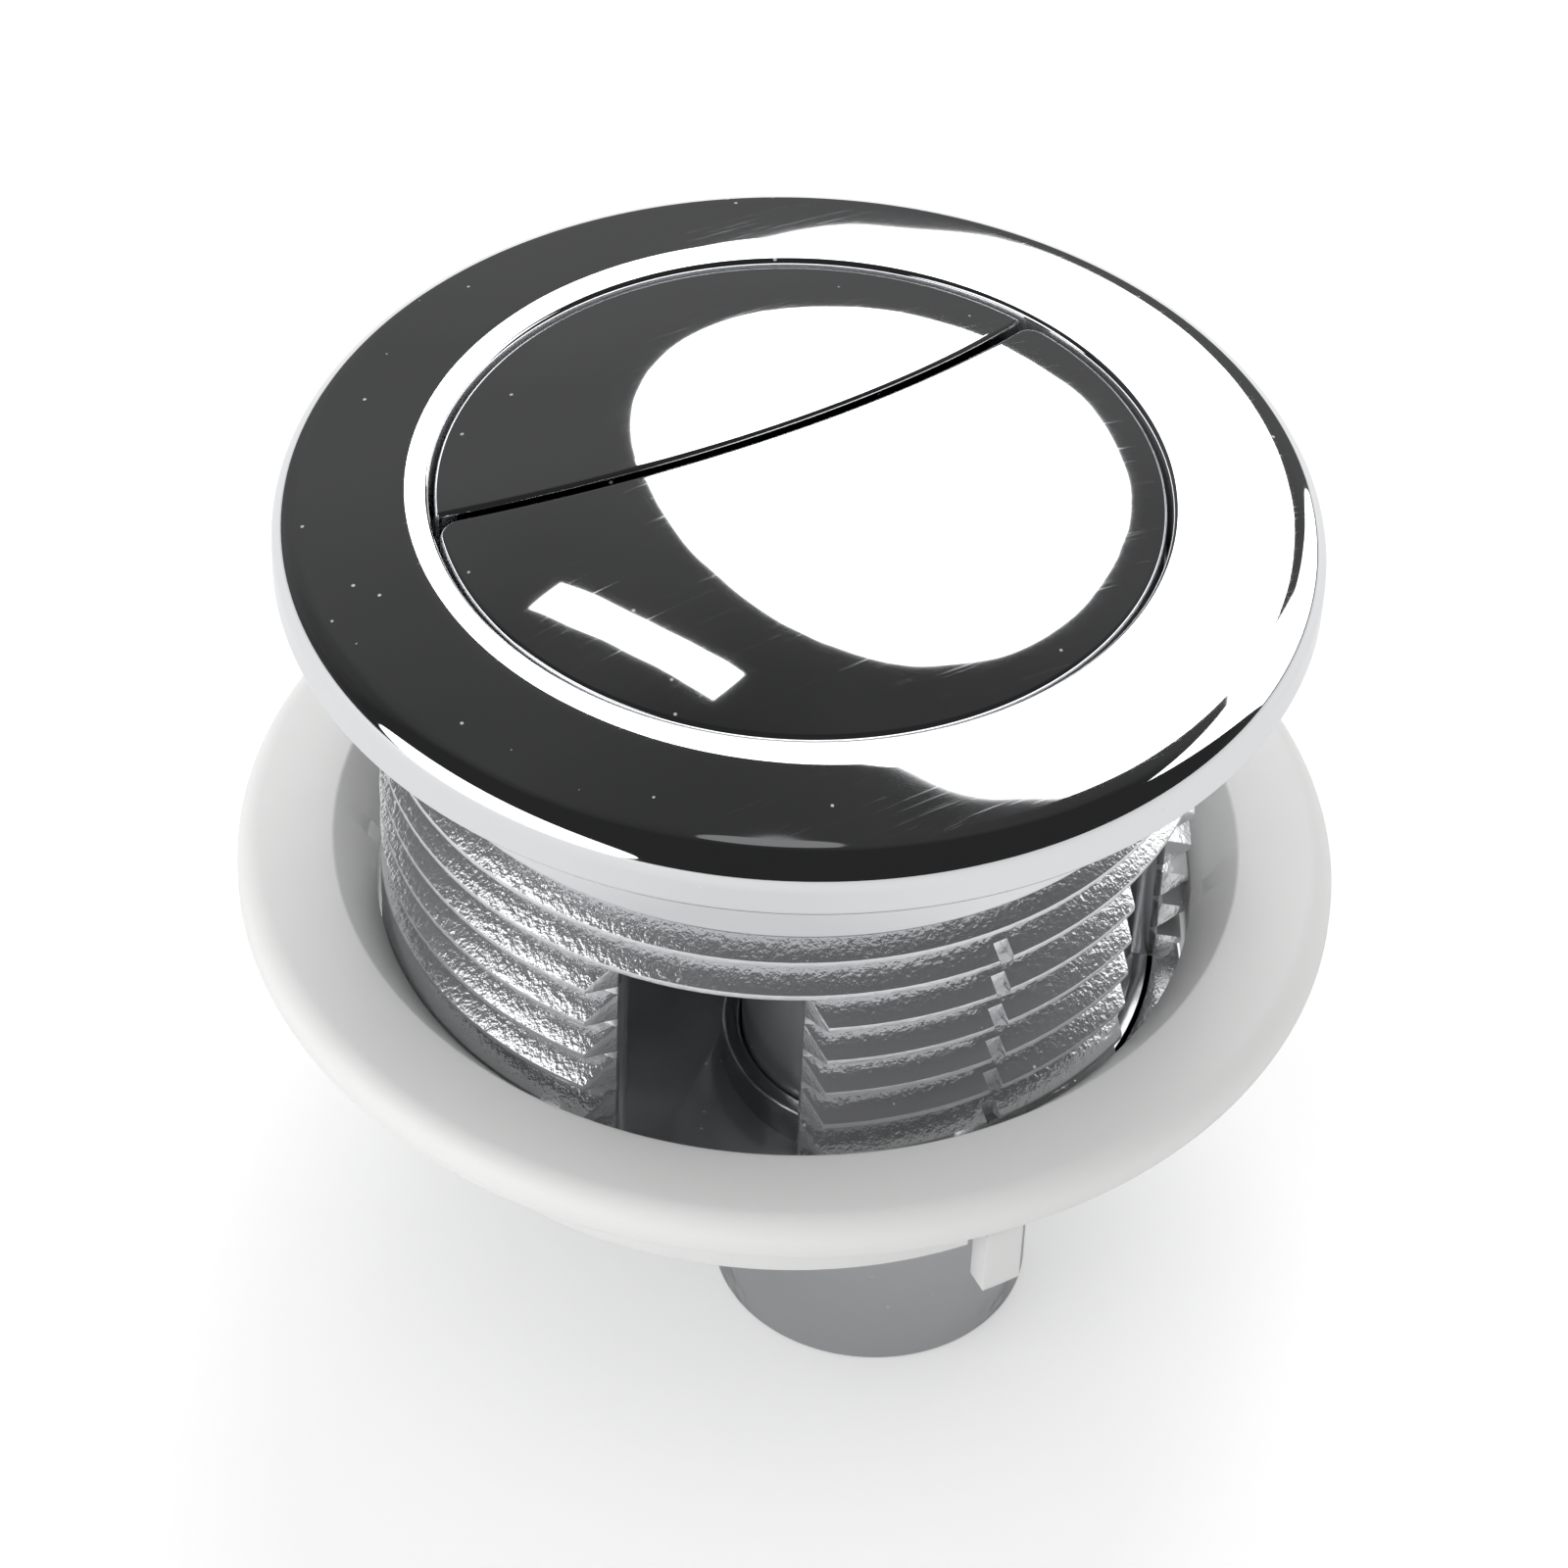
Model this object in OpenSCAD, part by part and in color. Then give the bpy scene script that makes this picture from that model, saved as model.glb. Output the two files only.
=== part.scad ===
// Dual flush push button for a cistern lid: a domed bezel on a threaded, windowed skirt,
// two sprung buttons that slide in sleeves under it, and the flanged nut that clamps the lid.
// Millimetres, +Z up. The origin is on the axis, in the plane where the bezel sits on the lid.
// +Y is the half flush side and -Y the full flush side.

/* [Bezel] */
// How far the bezel reaches out past the thread, over the edge of the lid's hole
bezel_cover = 7; // [5:0.5:10]
// Height of the upright band round the rim
rim_h = 2.1; // [1.5:0.1:3]
// Height of the flat ring round the buttons above the lid
land_h = 5.6; // [4.8:0.1:6.6]
// Width of that flat ring
land_w = 1.9; // [1:0.1:3]
// Wall of the bezel
bezel_wall = 2; // [1.6:0.1:2.2]
// Width of the rim's foot, which bears on the lid
foot_w = 2.2; // [1.8:0.1:3]
// Number of stiffening ribs under the bezel
rib_n = 12; // [4:1:16]
// Thickness of a rib
rib_t = 1.2; // [0.8:0.1:1.6]

/* [Threaded skirt] */
// Diameter over the thread, which passes through the lid's hole
thread_d = 58; // [50:0.5:68]
// Depth of the thread
thread_depth = 1.9; // [1.2:0.1:2]
// Height that one turn of the thread climbs
thread_pitch = 3.1; // [2.6:0.1:4]
// Width of the narrow land along the thread's crest
crest_w = 0.4; // [0.3:0.05:0.6]
// Wall of the skirt under the thread
skirt_wall = 1.8; // [1.4:0.1:2.4]
// Length of the plain neck between the bezel and the thread
neck_h = 8.8; // [6:0.2:11]
// How far the wall steps in above the neck, so that it clears the edge of the lid's hole
neck_relief = 0.4; // [0.35:0.05:0.6]
// Length of the skirt from the lid's top face to the underside of the floor
skirt_h = 38; // [34:0.5:46]
// Thickness of the floor
floor_t = 2.5; // [2:0.1:3.5]
// Depth of the top edge of the windows below the lid's top face
window_top = 15.1; // [13:0.1:20]
// Width of a window as an angle about the axis
window_angle = 27.5; // [20:0.5:30]
// Angle from the X axis to the middle of a window
window_at = 48.5; // [44:0.5:52]
// Angle over which a thread ridge runs out beside a window
ridge_fade = 4.5; // [2:0.5:6]
// Width of the notch that the mould's parting line leaves across the ridges
notch_w = 1.1; // [0.8:0.1:1.6]

/* [Sleeves under the floor] */
// Wall of a sleeve
sleeve_wall = 1.3; // [1.1:0.1:1.6]
// Height of a sleeve's lip above the floor
sleeve_lip = 2.9; // [1.5:0.1:4]
// Length of a sleeve below the floor
sleeve_h = 18.1; // [16:0.1:24]
// Depth of the socket below the guide wall, which takes the valve's lifting post
socket_h = 10.1; // [9.5:0.1:11]
// Thickness of the guide wall, which carries the spring
guide_t = 2.5; // [2:0.1:3.5]

/* [Buttons] */
// How far each button travels
travel = 5; // [3:0.5:6]
// Clearance between a button and the bore
button_gap = 0.35; // [0.25:0.05:0.5]
// Width of the split between the two buttons
split_gap = 0.7; // [0.5:0.1:1]
// Radius of the curved split
split_r = 52; // [48:1:80]
// Distance from the middle to the lowest point of the split
split_y = 3.4; // [2:0.1:5]
// Radius of the dome over both buttons
dome_r = 105; // [80:5:160]
// How far the buttons' outer edge lies below the bezel's flat ring
edge_drop = 0.25; // [0.1:0.05:0.5]
// Small break of the buttons' outer edge
cap_chamfer = 0.35; // [0.2:0.05:0.5]
// Side wall of a button
cap_wall = 1.6; // [1.2:0.1:1.8]
// Top wall of a button
cap_top = 2; // [1.6:0.1:2.4]
// Height of a button's side wall
cap_h = 7.5; // [6:0.5:9]

/* [Plungers and pushers] */
// Distance from a button's round side to its plunger tube
tube_inset = 0.75; // [0.6:0.05:1]
// Distance from the split to the half flush plunger tube
tube_from_split = 0.45; // [0.3:0.05:0.8]
// Wall of a plunger tube
tube_wall = 1.5; // [1.2:0.1:1.8]
// Running clearance on the radius of sliding parts
run_gap = 0.08; // [0.04:0.01:0.1]
// Diameter of a pusher's shank
shank_d = 7.8; // [7:0.1:8.4]
// Diameter of the spigot that plugs into the button's boss
spigot_d = 5; // [4:0.1:5.4]
// Length of the spigot
spigot_h = 10; // [6:0.5:12]
// Wall of the boss round the spigot
boss_wall = 1.7; // [1.4:0.1:2]
// Depth of the boss below the lid's top face
boss_end = 16; // [14:0.5:18]
// Diameter of a pusher's foot, which stops the button at rest
foot_d = 13; // [11:0.5:14]
// Thickness of that foot
foot_t = 2; // [1.6:0.1:2.6]
// Height of the domed end under the foot, which presses the valve's post
dome_h = 1.2; // [0.8:0.1:1.6]

/* [Springs] */
// Gap between a spring and the plunger tube round it
spring_gap = 0.7; // [0.4:0.1:1]
// Wire diameter
wire_d = 1; // [0.8:0.1:1.1]
// Number of working turns
spring_turns = 6; // [5:1:7]
// Depth below the lid's top face at which the spring bears on the button
spring_top = 14; // [12:0.5:15]

/* [Clamp nut] */
// How far the nut's flange reaches out past the collar
flange_w = 7.6; // [6:0.2:10]
// Depth of the nut's top face below the lid's top face, as the nut is screwed on
nut_top = 25.9; // [20:0.1:32]
// Thickness of the flange
flange_t = 3; // [2.4:0.1:4]
// Rounding of the flange's upper edge
flange_round = 1.8; // [1:0.1:2.2]
// Widening of the funnel mouth at the top
funnel_w = 3.05; // [2:0.05:4]
// Depth of the funnel
funnel_h = 4; // [3:0.1:5]
// Whole height of the nut
nut_h = 12.5; // [11:0.1:15]
// Clearance on the radius between the nut and the thread's crest
nut_gap = 0.3; // [0.2:0.05:0.5]
// Depth of the thread groove inside the nut
groove_depth = 1; // [0.8:0.1:1.2]
// Wall of the collar behind the bore
collar_wall = 2.3; // [2:0.1:2.8]
// Number of slots that part the collar into fingers
slot_n = 6; // [3:3:9]
// Width of a slot
slot_w = 1.6; // [1:0.1:2.4]
// Width of a grip tab
tab_w = 3; // [2:0.2:4]
// Height of a grip tab below the collar
tab_h = 5.5; // [3:0.5:7]
// How far a grip tab's faces lie inside the collar's
tab_inset = 0.2; // [0.1:0.05:0.4]
// Angle at which the nut has stopped turning
nut_turn = 26; // [0:1:60]

/* [Hidden] */
$fn = 96;
// Facets of the large shallow domes, and of the circles that meet them
dome_fn = 180;
// A cut reaches this far past the face it opens
cut = 1;
// Small clearance where one piece bears on or plugs into another
bear_gap = 0.05;
// How far one shape is sunk into the next that it is fused with
sink = 0.5;
chrome_grey = [0.8, 0.81, 0.83];
nut_white = [0.93, 0.93, 0.92];
pusher_white = [0.88, 0.88, 0.86];
steel_grey = [0.62, 0.63, 0.65];

// Skirt and bezel, from the thread outward and inward
crest_r = thread_d / 2;
root_r = crest_r - thread_depth;
bore_r = root_r - skirt_wall;
bezel_r = crest_r + bezel_cover;
land_r = bore_r + land_w;
floor_z = floor_t - skirt_h;
// The dome leaves the flat ring level and meets the top of the rim band
dome_drop = land_h - rim_h;
dome_run = bezel_r - land_r;
bezel_arc = (dome_run * dome_run + dome_drop * dome_drop) / (2 * dome_drop);
// Small break where the flat ring turns down into the bore
land_edge = 0.3;

// Thread section: the upper flank falls gently, the underside is nearly flat, and a
// narrow strip of the root stays bare between two turns
underside_h = 0.35;
root_w = 0.25;
flank_drop = thread_pitch - crest_w - underside_h - root_w;
ridge_h = thread_pitch - root_w;
// The ridge starts a little inside the neck and stops short of the skirt's lower end
ridge_in_neck = 0.9;
ridge_end_gap = 0.4;
thread_start = neck_h - ridge_in_neck;
thread_steps = 60;
thread_turns = (skirt_h - thread_start - ridge_h - ridge_end_gap) / thread_pitch;
// What stands out of the ridge where it sinks into the wall at its ends
ridge_end_h = 0.1;

// Each plunger tube fills the width between the split and the button's round side
button_r = bore_r - button_gap;
tube_r = (button_r - tube_inset - split_y - split_gap / 2 - tube_from_split) / 2;
sleeve_y = button_r - tube_inset - tube_r;
sleeve_r = tube_r + run_gap;
sleeve_end = skirt_h + sleeve_h;
guide_z = socket_h - sleeve_end;
seat_z = guide_z + guide_t;

edge_z = land_h - edge_drop;
dome_z = edge_z - sqrt(dome_r * dome_r - button_r * button_r);
cap_z = edge_z - cap_h;
// Air left under the plunger tube when the button is fully down
tube_spare = 0.5;
tube_z = seat_z + travel + tube_spare;
boss_r = spigot_d / 2 + boss_wall;
seat_rib_n = 4;
seat_rib_t = 1.6;

wire_r = wire_d / 2;
spring_r = tube_r - tube_wall - spring_gap - wire_r;
spring_low = seat_z + bear_gap + wire_r;
spring_high = -spring_top - bear_gap - wire_r;
spring_steps = 20;
wire_sides = 8;

nut_bore_r = crest_r + nut_gap;
collar_r = nut_bore_r + collar_wall;
nut_r = collar_r + flange_w;
nut_base = nut_top + nut_h;
// The nut's groove follows the housing's thread, whole turns further down
groove_start = thread_start
    + thread_pitch * floor((nut_top + funnel_h - thread_start) / thread_pitch);
groove_turns = nut_h / thread_pitch;

function polar(r, a) = [r * cos(a), r * sin(a)];

// Ring between two radii and two heights
module ring(r_in, r_out, low, high) {
    translate([0, 0, low])
        difference() {
            cylinder(r = r_out, h = high - low);
            translate([0, 0, -cut]) cylinder(r = r_in, h = high - low + 2 * cut);
        }
}

// One cross-section of the thread: base above, crest above, crest below, base below
function ridge_section(r_base, r_crest, a, z) =
    [for (p = [[r_base, 0], [r_crest, -flank_drop], [r_crest, -flank_drop - crest_w],
        [r_base, -ridge_h]])
        [p[0] * cos(a), p[0] * sin(a), z + p[1]]];

// Right-hand ridge that winds down from height top; its first and last eighth of a
// turn sink into the wall
module helical_ridge(r_base, r_crest, top, turns) {
    last = round(turns * thread_steps);
    fade = thread_steps / 8;
    low_crest = r_base + ridge_end_h;
    sections = [for (i = [0:last])
        let (full = min(1, i / fade, (last - i) / fade))
        ridge_section(r_base, low_crest + (r_crest - low_crest) * full,
            -360 * i / thread_steps, top - thread_pitch * i / thread_steps)];
    points = [for (section = sections) for (p = section) p];
    sides = [for (i = [0:last - 1]) for (j = [0:3])
        let (a = 4 * i + j, b = 4 * i + (j + 1) % 4)
        each [[a, b, a + 4], [b, b + 4, a + 4]]];
    ends = [[3, 2, 1, 0], [4 * last, 4 * last + 1, 4 * last + 2, 4 * last + 3]];
    polyhedron(points, concat(sides, ends), convexity = 20);
}

// Half outline of the bezel shell
module bezel_profile() {
    difference() {
        union() {
            intersection() {
                translate([land_r, land_h - bezel_arc]) circle(r = bezel_arc, $fn = dome_fn);
                translate([land_r, rim_h - cut]) square([dome_run, dome_drop + cut]);
            }
            translate([bore_r, 0]) square([land_w, land_h]);
            translate([bore_r, 0]) square([bezel_r - bore_r, rim_h]);
        }
        // Hollow under the dome, between the neck and the rim's foot
        intersection() {
            translate([land_r, land_h - bezel_arc])
                circle(r = bezel_arc - bezel_wall, $fn = dome_fn);
            translate([crest_r - neck_relief, -cut])
                square([bezel_r - foot_w - crest_r + neck_relief, land_h + cut]);
        }
        translate([bore_r, land_h]) rotate(45)
            square([land_edge * sqrt(2), land_edge * sqrt(2)], center = true);
    }
}

// Stiffening ribs from the neck to the foot, kept inside the shell's outline
module bezel_ribs() {
    start_r = crest_r - neck_relief - sink;
    intersection() {
        for (i = [0:rib_n - 1])
            rotate((i + 0.5) * 360 / rib_n)
                translate([start_r, -rib_t / 2, rim_h / 2])
                    cube([bezel_r - foot_w + sink - start_r, rib_t, land_h]);
        rotate_extrude()
            intersection() {
                translate([land_r, land_h - bezel_arc])
                    circle(r = bezel_arc - bezel_wall / 2, $fn = dome_fn);
                translate([crest_r - cut, 0]) square([bezel_cover, land_h]);
            }
    }
}

// Plan of one window: a slot through the wall that flares at the ridges' ends
module window_plan(middle) {
    half = window_angle / 2;
    far_r = crest_r + cut;
    polygon([
        polar(bore_r - 2 * cut, middle - half),
        polar(root_r, middle - half),
        polar(far_r, middle - half - ridge_fade),
        polar(far_r + cut, middle),
        polar(far_r, middle + half + ridge_fade),
        polar(root_r, middle + half),
        polar(bore_r - 2 * cut, middle + half)
    ]);
}

module windows() {
    for (side = [0, 180], turn = [-window_at, window_at])
        translate([0, 0, floor_z])
            linear_extrude(height = -window_top - floor_z) window_plan(side + turn);
}

// The thread, cut by the windows and by the notches of the mould's parting line
module thread() {
    notch_h = skirt_h - neck_h - thread_pitch;
    difference() {
        helical_ridge(root_r - sink, crest_r, -thread_start, thread_turns);
        windows();
        for (side = [-1, 1])
            translate([0, side * (root_r + cut + thread_depth / 2), notch_h / 2 - skirt_h])
                cube([notch_w, 2 * cut, notch_h], center = true);
    }
}

module sleeve_bores() {
    for (side = [-1, 1])
        translate([0, side * sleeve_y, 0]) {
            translate([0, 0, seat_z]) cylinder(r = sleeve_r, h = -seat_z);
            translate([0, 0, -sleeve_end - cut]) cylinder(r = sleeve_r, h = socket_h + cut);
            translate([0, 0, guide_z - cut])
                cylinder(d = shank_d + 2 * run_gap, h = guide_t + 2 * cut);
        }
}

// Bezel, skirt, floor and both sleeves are one plated moulding
module housing() {
    color(chrome_grey) {
        difference() {
            union() {
                rotate_extrude() bezel_profile();
                bezel_ribs();
                ring(bore_r, crest_r, -neck_h, 0);
                ring(bore_r, root_r, -skirt_h, -neck_h);
                thread();
            }
            windows();
        }
        difference() {
            union() {
                translate([0, 0, -skirt_h]) cylinder(r = bore_r + sink, h = floor_t);
                for (side = [-1, 1])
                    translate([0, side * sleeve_y, -sleeve_end])
                        cylinder(r = sleeve_r + sleeve_wall,
                            h = sleeve_end + floor_z + sleeve_lip);
            }
            sleeve_bores();
        }
    }
}

// Plan of a button: side 1 is the half flush lens and side -1 the full flush crescent.
// inset moves the whole outline inwards.
module button_plan(side, inset) {
    split_c = split_y + split_r;
    if (side > 0)
        intersection() {
            circle(r = button_r - inset);
            translate([0, split_c])
                circle(r = split_r - split_gap / 2 - inset, $fn = dome_fn);
        }
    else
        difference() {
            circle(r = button_r - inset);
            translate([0, split_c])
                circle(r = split_r + split_gap / 2 + inset, $fn = dome_fn);
        }
}

// What stays solid inside a button: the tube's wall, the boss and the spring's seat ribs
module plunger_core(side) {
    high = edge_z + cap_h;
    translate([0, side * sleeve_y, 0]) {
        ring(tube_r - tube_wall, tube_r + cut, tube_z - 2 * cut, high);
        ring(spigot_d / 2, boss_r, -boss_end, high);
        for (i = [0:seat_rib_n - 1])
            rotate(i * 360 / seat_rib_n)
                translate([boss_r - sink, -seat_rib_t / 2, -spring_top])
                    cube([tube_r - tube_wall - boss_r + 2 * sink, seat_rib_t,
                        high + spring_top]);
    }
}

// Hollow button with its plunger tube, seat ribs and boss, moulded in one
module button(side) {
    difference() {
        union() {
            intersection() {
                translate([0, 0, cap_z])
                    linear_extrude(height = 2 * cap_h) button_plan(side, 0);
                translate([0, 0, dome_z]) sphere(r = dome_r, $fn = dome_fn);
                // A cone of 45 degrees breaks the outer edge
                translate([0, 0, cap_z])
                    cylinder(r1 = button_r + cap_h - cap_chamfer,
                        r2 = button_r - cap_h - cap_chamfer, h = 2 * cap_h);
            }
            translate([0, side * sleeve_y, tube_z])
                cylinder(r = tube_r, h = edge_z - cap_top / 2 - tube_z);
        }
        difference() {
            intersection() {
                union() {
                    translate([0, 0, cap_z - cut])
                        linear_extrude(height = 2 * cap_h) button_plan(side, cap_wall);
                    translate([0, side * sleeve_y, tube_z - cut])
                        cylinder(r = tube_r - tube_wall, h = edge_z + cap_h - tube_z);
                }
                translate([0, 0, dome_z]) sphere(r = dome_r - cap_top, $fn = dome_fn);
            }
            plunger_core(side);
        }
    }
}

module full_flush_button() {
    color(chrome_grey) button(-1);
}

module half_flush_button() {
    color(chrome_grey) button(1);
}

// Moulded pusher: a spigot in the button's boss, a shank through the guide wall, and a
// foot that catches under that wall, with a domed end for the valve's lifting post
module pusher(side) {
    shoulder_z = -boss_end - bear_gap;
    foot_z = guide_z - bear_gap - foot_t;
    // The domed end is a cap of a sphere as wide as the shank
    end_r = (shank_d * shank_d / 4 + dome_h * dome_h) / (2 * dome_h);
    translate([0, side * sleeve_y, 0]) {
        translate([0, 0, foot_z]) cylinder(d = shank_d, h = shoulder_z - foot_z);
        translate([0, 0, shoulder_z - sink])
            cylinder(d = spigot_d - 2 * bear_gap, h = spigot_h + sink);
        translate([0, 0, foot_z]) cylinder(d = foot_d, h = foot_t);
        intersection() {
            translate([0, 0, foot_z - dome_h + end_r]) sphere(r = end_r);
            translate([0, 0, foot_z - 2 * dome_h]) cylinder(d = foot_d, h = 2 * dome_h + sink);
        }
    }
}

module full_flush_pusher() {
    color(pusher_white) pusher(-1);
}

module half_flush_pusher() {
    color(pusher_white) pusher(1);
}

// Height of the wire after t turns: one closed turn at each end, the rest evenly open
function coil_z(t, turns) =
    let (open = (t - 1) / (turns - 2))
    spring_low + wire_d * (min(t, 1) + max(0, t - turns + 1))
        + (spring_high - spring_low - 2 * wire_d) * min(1, max(0, open));

// Compression spring, wound as one tube
module spring(side) {
    turns = spring_turns + 2;
    last = turns * spring_steps;
    points = [for (i = [0:last], k = [0:wire_sides - 1])
        let (a = 360 * i / spring_steps, b = 360 * k / wire_sides,
            r = spring_r + wire_r * cos(b))
        [r * cos(a), r * sin(a), coil_z(i / spring_steps, turns) + wire_r * sin(b)]];
    sides = [for (i = [0:last - 1], k = [0:wire_sides - 1])
        let (a = i * wire_sides + k, b = i * wire_sides + (k + 1) % wire_sides)
        each [[a, b, a + wire_sides], [b, b + wire_sides, a + wire_sides]]];
    ends = [[for (k = [wire_sides - 1:-1:0]) k],
        [for (k = [0:wire_sides - 1]) last * wire_sides + k]];
    translate([0, side * sleeve_y, 0]) polyhedron(points, concat(sides, ends), convexity = 20);
}

module full_flush_spring() {
    color(steel_grey) spring(-1);
}

module half_flush_spring() {
    color(steel_grey) spring(1);
}

// Half outline of the nut: flange, funnel mouth and collar
module nut_profile() {
    mouth_r = nut_bore_r + funnel_w;
    slope = funnel_w / funnel_h;
    difference() {
        union() {
            translate([nut_bore_r, -nut_base]) square([collar_wall, nut_h]);
            translate([nut_bore_r, -nut_top - flange_t])
                square([nut_r - flange_round - nut_bore_r, flange_t]);
            translate([nut_bore_r, -nut_top - flange_t])
                square([nut_r - nut_bore_r, flange_t - flange_round]);
            // The upper edge is rounded and the lower one stays square
            intersection() {
                translate([nut_r - flange_round, -nut_top - flange_round])
                    circle(r = flange_round);
                translate([nut_r - flange_round, -nut_top - flange_round])
                    square([flange_round, flange_round]);
            }
        }
        polygon([
            [nut_bore_r - cut, -nut_top + cut],
            [mouth_r + cut * slope, -nut_top + cut],
            [nut_bore_r, -nut_top - funnel_h],
            [nut_bore_r - cut, -nut_top - funnel_h]
        ]);
    }
}

// Grip tab with round corners, curved with the collar and flush with a slot's side
module grip_tab() {
    corner = tab_w / 4;
    intersection() {
        ring(nut_bore_r + tab_inset, collar_r - tab_inset, -nut_base - tab_h,
            -nut_base + sink);
        translate([0, (slot_w + tab_w) / 2, -nut_base])
            rotate([90, 0, 90])
                linear_extrude(height = collar_r + cut)
                    union() {
                        translate([-tab_w / 2, corner - tab_h])
                            square([tab_w, tab_h - corner + sink]);
                        translate([corner - tab_w / 2, -tab_h])
                            square([tab_w - 2 * corner, tab_h]);
                        for (end = [-1, 1])
                            translate([end * (tab_w / 2 - corner), corner - tab_h])
                                circle(r = corner);
                    }
    }
}

module clamp_nut() {
    color(nut_white)
        rotate(nut_turn) {
            difference() {
                rotate_extrude() nut_profile();
                for (i = [0:slot_n - 1])
                    rotate(i * 360 / slot_n)
                        translate([nut_bore_r - cut, -slot_w / 2, -nut_base - cut])
                            cube([collar_wall + 2 * cut, slot_w, nut_h - flange_t + cut]);
                rotate(-nut_turn)
                    helical_ridge(nut_bore_r - sink, nut_bore_r + groove_depth,
                        -groove_start, groove_turns);
            }
            // A tab stands beside every other slot
            for (i = [0:2:slot_n - 1])
                rotate(i * 360 / slot_n) grip_tab();
        }
}

housing();
full_flush_button();
half_flush_button();
full_flush_pusher();
half_flush_pusher();
full_flush_spring();
half_flush_spring();
clamp_nut();
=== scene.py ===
from math import asin, atan2, cos, degrees, hypot, pi, radians, sin, sqrt

import bpy
from mathutils import Matrix, Vector


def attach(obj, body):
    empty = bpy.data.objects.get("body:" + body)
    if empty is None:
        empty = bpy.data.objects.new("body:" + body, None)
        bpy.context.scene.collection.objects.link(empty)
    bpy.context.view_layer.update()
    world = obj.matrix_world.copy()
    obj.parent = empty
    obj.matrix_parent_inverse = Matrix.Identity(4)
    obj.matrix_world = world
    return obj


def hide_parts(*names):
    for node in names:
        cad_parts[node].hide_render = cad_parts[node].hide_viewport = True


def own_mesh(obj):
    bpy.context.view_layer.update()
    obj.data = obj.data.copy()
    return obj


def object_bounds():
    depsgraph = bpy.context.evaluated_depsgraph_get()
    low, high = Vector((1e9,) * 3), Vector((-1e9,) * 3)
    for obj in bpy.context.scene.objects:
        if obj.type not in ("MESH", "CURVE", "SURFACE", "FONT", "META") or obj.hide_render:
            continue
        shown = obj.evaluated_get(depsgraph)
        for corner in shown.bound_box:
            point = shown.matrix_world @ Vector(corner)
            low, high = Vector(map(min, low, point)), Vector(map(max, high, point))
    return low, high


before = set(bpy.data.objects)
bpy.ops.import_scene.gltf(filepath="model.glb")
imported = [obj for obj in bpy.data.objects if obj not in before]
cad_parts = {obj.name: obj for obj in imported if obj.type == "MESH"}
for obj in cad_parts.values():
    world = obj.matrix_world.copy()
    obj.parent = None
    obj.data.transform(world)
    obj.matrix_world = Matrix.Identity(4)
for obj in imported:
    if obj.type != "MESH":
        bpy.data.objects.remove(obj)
cad_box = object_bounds()

# Dual flush push button for a cistern lid, as it comes out of its bag: the chromed unit
# with its two buttons, and the white clamp nut run half way down its thread.

# Camera
# A long lens looks down on the unit from its front left, and stands a little crooked,
# as the photograph does.
MM = 0.001
LOOK_DOWN = radians(42.75)
FROM_SIDE = radians(-31.5)
CROOKED = radians(2.55)
camera_data = bpy.data.cameras.new("camera")
camera_data.sensor_width = 36
camera_data.lens = 134.4
camera_data.clip_start = 0.01
camera = bpy.data.objects.new("camera", camera_data)
bpy.context.scene.collection.objects.link(camera)
camera.matrix_world = (
    Matrix.Rotation(FROM_SIDE, 4, "Z")
    @ Matrix.Translation((0, 0, 2.1 * MM))
    @ Matrix.Rotation(pi / 2 - LOOK_DOWN, 4, "X")
    @ Matrix.Translation((-0.3 * MM, -17.5 * MM, 400 * MM))
    @ Matrix.Rotation(CROOKED, 4, "Z")
)
bpy.context.scene.camera = camera


# Studio
# White paper under the unit, an oval soft box behind it to the right, and low windows at
# the right and the front left. A strip lamp is flagged so that only the full flush button
# catches it, and the right window and a small reflector so that only the housing does.
# Dark drapes hang all round, which only the chrome shows; they glow faintly at a set level rather than being lit,
# a painted reflection.
def linear(text):
    """A colour written as sRGB hex, as the linear numbers that a node takes."""
    parts = [int(text[i:i + 2], 16) / 255 for i in (1, 3, 5)]
    return tuple(c / 12.92 if c <= 0.04045 else ((c + 0.055) / 1.055) ** 2.4
                 for c in parts) + (1.0,)


def add_node(tree, kind, links=None, **settings):
    """One node with its settings; links gives the output or the value of each input."""
    node = tree.nodes.new(kind)
    for name, value in settings.items():
        setattr(node, name, value)
    for name, value in (links or {}).items():
        if isinstance(value, bpy.types.NodeSocket):
            tree.links.new(value, node.inputs[name])
        else:
            node.inputs[name].default_value = value
    return node


def empty_material(name):
    """A new node material whose tree is still empty."""
    material = bpy.data.materials.new(name)
    material.use_nodes = True
    material.node_tree.nodes.clear()
    return material, material.node_tree


def soft_light(name, shape, azimuth, elevation, width, height, level, roll=0.0, distance=1.0):
    """A soft light that faces the unit; a level of 1 looks white."""
    data = bpy.data.lights.new(name, "AREA")
    data.shape = shape
    data.size, data.size_y = width, height
    face = width * height * (pi / 4 if shape == "ELLIPSE" else 1)
    data.energy = level * pi * face
    lamp = bpy.data.objects.new(name, data)
    a, e = radians(azimuth), radians(elevation)
    place = Vector((cos(a) * cos(e), sin(a) * cos(e), sin(e))) * distance
    lamp.matrix_world = (Matrix.Translation(place)
                         @ place.to_track_quat("Z", "Y").to_matrix().to_4x4()
                         @ Matrix.Rotation(radians(roll), 4, "Z"))
    bpy.context.scene.collection.objects.link(lamp)
    return lamp


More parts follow.
